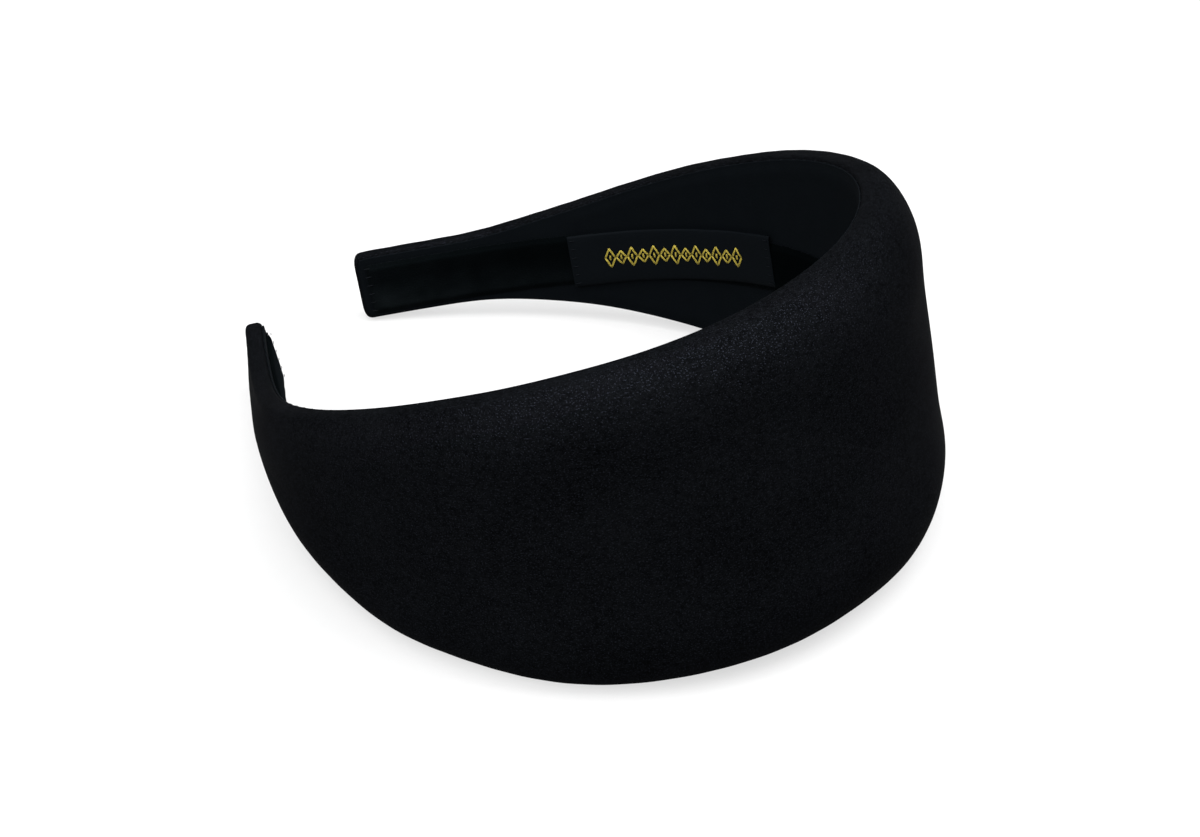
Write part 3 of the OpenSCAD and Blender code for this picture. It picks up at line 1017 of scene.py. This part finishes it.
crepe = Finish("black_crepe", Specular_IOR_Level=0.002, Roughness=0.7)
at_cloth = crepe.cloth()
pebbles = crepe.noise(at_cloth, PEBBLE, 1.0)
coarse = crepe.noise(at_cloth, GRAIN, 1.0)
shade = crepe.ramp(crepe.noise(at_cloth, CLOUD, 3.0), (0.3, 0), (0.7, 1))
specks = crepe.ramp(crepe.noise(at_cloth, SPECK, 0.0), (0.62, 0), (0.74, 1))
mottle = crepe.ramp(crepe.noise(at_cloth, MOTTLE, 2.0), (0.34, 0), (0.66, 1))
tops = crepe.ramp(pebbles * 0.55 + coarse * 0.45, (0.4, 0), (0.62, 1))
dye = crepe.blend(tops * 0.5 + mottle * 0.2 + shade * 0.3, hue(1.3, 1.5, 1.8), hue(7.4, 8.3, 9.9))
crepe.set(Base_Color=dye, Normal=crepe.bump(pebbles * 0.75 + coarse * 0.25, PEBBLE_DEPTH, 0.6))
twisted = crepe.bump(pebbles + coarse * 0.3, GLITTER_DEPTH, 1.0)
crepe.glint(0.0002 + tops * 0.0005 + specks * 0.014, twisted, Base_Color=hue(150, 158, 184),
            Specular_Tint=hue(150, 152, 165), Metallic=1.0, Roughness=0.48)
print("crepe has", len(crepe.nodes), "nodes")

# %% [markdown]
# The lining is a matt plain weave in the same black. Two wave patterns, across and along, make the
# over and under of its yarns, and a slow noise keeps the yarns from being perfectly even.

# %% Weave of the lining
YARN, YARN_DRIFT, YARN_DEPTH = 0.4 * MM, 5 * MM, 0.06 * MM
WAVE_FACTOR = 20  # a wave texture multiplies each place by this

lining_finish = Finish("black_lining", Specular_IOR_Level=0.004)
at_cloth = lining_finish.cloth()
drift = lining_finish.noise(at_cloth, YARN_DRIFT, 2.0)


def wave_scale(pitch):
    """The scale of a wave texture whose waves are this far apart."""
    return 2 * math.pi / (WAVE_FACTOR * pitch)


def yarns(finish, places, direction, pitch, wander):
    """Evenly laid yarns that wander a little, from 0 in the gaps to 1 on top."""
    settings = {"wave_type": "BANDS", "bands_direction": direction, "wave_profile": "SIN"}
    inputs = {"Vector": places, "Scale": wave_scale(pitch), "Distortion": wander,
              "Detail": 1.0, "Detail Scale": 0.4}
    return finish.node("TexWave", settings, inputs, output=1)


warp, weft = (yarns(lining_finish, at_cloth, direction, YARN, 0.5) for direction in "XY")
weave = warp * weft + (1 - warp) * (1 - weft)
dye = lining_finish.blend(weave * 0.5 + drift * 0.5, hue(4, 5.3, 6.7), hue(6.2, 8.3, 10.5))
lining_finish.set(Base_Color=dye, Roughness=0.7 - weave * 0.12,
                  Normal=lining_finish.bump(weave + drift * 0.3, YARN_DEPTH, 0.5))
print("lining has", len(lining_finish.nodes), "nodes")

# %% [markdown]
# Velvet is black where one looks down into the pile and grey where one sees the side of the
# fibres. The shader's sheen does this for any view. In patches of a few millimetres the pile
# leans over and is a little lighter, and the colour is lighter towards the tips and along its
# lower side.

# %% Pile of the velvet ribbon
BRUSHED, TUFT, TUFT_DEPTH = 7 * MM, 0.35 * MM, 0.2 * MM
# Length along the band over which the colour gets lighter towards the tips.
TIPWARD_LENGTH = 200 * MM  # the stops of near_tips are shares of it

velvet = Finish("black_velvet", Specular_IOR_Level=0.0, Roughness=0.9, Sheen_Weight=0.01,
                Sheen_Roughness=0.25, Sheen_Tint=hue(190, 205, 220))
at_cloth = velvet.cloth()
brushed = velvet.ramp(velvet.noise(at_cloth, BRUSHED, 2.0), (0.3, 0), (0.8, 1))
over_crown = velvet.node("SeparateXYZ", None, {0: at_cloth})
from_crown = velvet.node("Math", {"operation": "ABSOLUTE"}, {0: over_crown})
over_middle = velvet.node("SeparateXYZ", None, {0: at_cloth}, output=1)
near_tips = velvet.ramp(from_crown * (1 / TIPWARD_LENGTH), (0.45, 0.1), (0.8, 0.45), (0.92, 1))
low_side = velvet.ramp(0.5 - over_middle * (0.5 / RIBBON_HALF), (0.3, 0.3), (0.8, 1))
tufts = velvet.noise(at_cloth, TUFT, 2.0)
grey = (0.35 + brushed * 0.65) * (near_tips * low_side) * (0.6 + tufts * 0.8)
velvet.set(Base_Color=velvet.blend(grey, hue(1.2, 1.9, 2.2), hue(10.5, 13.5, 15)),
           Normal=velvet.bump(tufts + brushed, TUFT_DEPTH, 0.7))
print("velvet has", len(velvet.nodes), "nodes")

# %% [markdown]
# Satin shows long floating yarns that run one way, so its grain is drawn out along the label, and
# its gloss is higher than the rest. Gold thread is a polyester yarn with a soft metallic look, and
# each stitch is twisted, which the bump shows as slanting ribs.

# %% Satin of the label
FLOAT, FLOAT_STRETCH = 0.16 * MM, (0.12, 1, 1)
SATIN_RIB, SATIN_DEPTH = 0.3 * MM, 0.04 * MM

satin = Finish("black_satin", Specular_IOR_Level=0.006)
at_cloth = satin.cloth()
floats = satin.noise(satin.stretched(at_cloth, FLOAT_STRETCH), FLOAT, 2.0)
ribs = yarns(satin, at_cloth, "Y", SATIN_RIB, 0.3)
dye = satin.blend(floats * 0.6 + ribs * 0.4, hue(4.1, 5.5, 7), hue(7, 9.3, 11.7))
satin.set(Base_Color=dye, Roughness=0.5 + floats * 0.15,
          Normal=satin.bump(ribs * 0.6 + floats * 0.5, SATIN_DEPTH, 0.5))
print("satin has", len(satin.nodes), "nodes")

# %% Gold thread and black thread
TWIST, TWIST_DEPTH, THREAD_WORN = 0.22 * MM, 0.05 * MM, 1.5 * MM


def thread_finish(name, low, high, **uniform):
    """A twisted thread in a colour between two."""
    finish = Finish(name, **uniform)
    places = finish.node("TexCoord", output=3)
    inputs = {"Vector": places, "Scale": wave_scale(TWIST)}
    twist = finish.node("TexWave", {"bands_direction": "DIAGONAL"}, inputs, output=1)
    worn = finish.noise(places, THREAD_WORN, 1.0)
    finish.set(Base_Color=finish.blend(twist * 0.5 + worn * 0.5, low, high), Roughness=0.45 + worn * 0.2,
               Normal=finish.bump(twist, TWIST_DEPTH, 0.6))
    return finish


gold_finish = thread_finish("gold_thread", hue(84, 72, 16), hue(162, 147, 55),
                            Metallic=0.3, Specular_IOR_Level=0.3)
black_thread = thread_finish("black_thread", hue(8, 9, 11), hue(15, 17, 20), Specular_IOR_Level=0.004)
print("threads finished")

# %% [markdown]
# Each piece gets its finish and the body that it rides on. A band has no moving part, so everything
# rides on the root.

# %% Say what each piece is


def dress(piece, finish, slot, *nodes):
    """Give a piece its finish and body, and hide the nodes that it stands for. The slot is not used."""
    piece.data.materials.clear()
    piece.data.materials.append(finish.material)
    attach(piece, "root")
    if nodes:
        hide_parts(*nodes)
    print(piece.name, "is", finish.material.name)


dress(cover, crepe, "cover", "padded_band")
dress(lining, lining_finish, "lining", "lining")
dress(grip_ribbon, velvet, "velvet", "grip_ribbon")
dress(label, satin, "satin", "label")
dress(stitches, black_thread, "lining")
dress(gold, gold_finish, "satin")

# %% [markdown]
# A plain pale floor carries the band. It is paper that glows a little by itself, like a light
# table: it goes white in the picture, and it throws light up into the dark cloth from below.

# %% Floor
FLOOR_HALF = 3.0
FLOOR_DEPTH = 0.2 * MM  # under the lowest point, so that the two don't fight
PAPER_GRAIN = 3 * MM

around = [(-1, -1), (1, -1), (1, 1), (-1, 1)]
corners = [(x * FLOOR_HALF, y * FLOOR_HALF, -FLOOR_DEPTH) for x, y in around]
floor = new_piece("floor", corners, [(0, 1, 2, 3)])
paper = Finish("pale_floor", Specular_IOR_Level=0.1, Emission_Color=hue(255, 255, 255),
               Emission_Strength=0.65)
grain = paper.noise(paper.node("TexCoord", output=3), PAPER_GRAIN, 2.0)
paper.set(Base_Color=paper.blend(grain, hue(99, 99, 99), hue(103, 103, 103)),
          Roughness=0.8 + grain * 0.1)
floor.data.materials.append(paper.material)
print("floor laid")

# %% [markdown]
# Black cloth needs big lights: small ones only make small highlights, and the form stays hidden.
# A large soft panel in front makes the shoulder shine, a second one hangs overhead and lights the
# top and the lining, and a smaller one on the right draws the edge of the crown. The pale room
# gives the rest.

# %% Soft studio light
ROOM = (0.34, 0.35, 0.37, 1)


def soft_light(name, size, place, power):
    """A square panel that looks at the middle of the floor."""
    lamp = bpy.data.lights.new(name, "AREA")
    lamp.shape, lamp.size, lamp.energy = "SQUARE", size, power
    light = bpy.data.objects.new(name, lamp)
    light.location = place
    light.rotation_euler = (-Vector(place)).to_track_quat("-Z", "Y").to_euler()
    bpy.context.scene.collection.objects.link(light)
    print(name, "is", round(Vector(place).length, 2), "m away")


soft_light("front_panel", size=1.4, place=(-0.05, -0.88, 1.0), power=42)
soft_light("overhead", size=1.2, place=(-0.05, 0.1, 1.5), power=42)
soft_light("side_panel", size=0.9, place=(0.6, 0.5, 1.1), power=32)
room = bpy.data.worlds.new("room")
room.use_nodes = True
room.node_tree.nodes["Background"].inputs["Color"].default_value = ROOM
room.node_tree.nodes["Background"].inputs["Strength"].default_value = 1.0
bpy.context.scene.world = room
bpy.context.scene.view_settings.view_transform = "Standard"
print("room light", ROOM[:3])

# %% [markdown]
# The camera looks from the photograph's angle. Its angles, distance and lens were found by
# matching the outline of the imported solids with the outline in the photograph. It looks at a point
# a little beside the band, which keeps the framing without any shift.

# %% Camera
CAMERA_SIDE = math.radians(38.629)
CAMERA_RISE = math.radians(35.410)
CAMERA_ROLL = math.radians(0.158)
CAMERA_DISTANCE = 649.786 * MM
CAMERA_ASIDE, CAMERA_UP = -5.017 * MM, 19.171 * MM
FOCUS = np.array([0, 0, 37.0]) * MM
SENSOR, LENS = 36.0, 94.455

ahead = np.array([-math.sin(CAMERA_SIDE) * math.cos(CAMERA_RISE),
                  math.cos(CAMERA_SIDE) * math.cos(CAMERA_RISE), -math.sin(CAMERA_RISE)])
right = np.array([math.cos(CAMERA_SIDE), math.sin(CAMERA_SIDE), 0])
above = np.cross(right, ahead)
rolled_right = math.cos(CAMERA_ROLL) * right + math.sin(CAMERA_ROLL) * above
rolled_above = math.cos(CAMERA_ROLL) * above - math.sin(CAMERA_ROLL) * right
lens = bpy.data.cameras.new("camera")
lens.sensor_width, lens.lens = SENSOR, LENS
camera = bpy.data.objects.new("camera", lens)
camera.matrix_world = Matrix(np.stack([rolled_right, rolled_above, -ahead], 1).tolist()).to_4x4()
camera.location = (FOCUS - CAMERA_ASIDE * rolled_right - CAMERA_UP * rolled_above
                   - CAMERA_DISTANCE * ahead)
bpy.context.scene.collection.objects.link(camera)
bpy.context.scene.camera = camera
print("camera at", [round(place, 3) for place in camera.location])
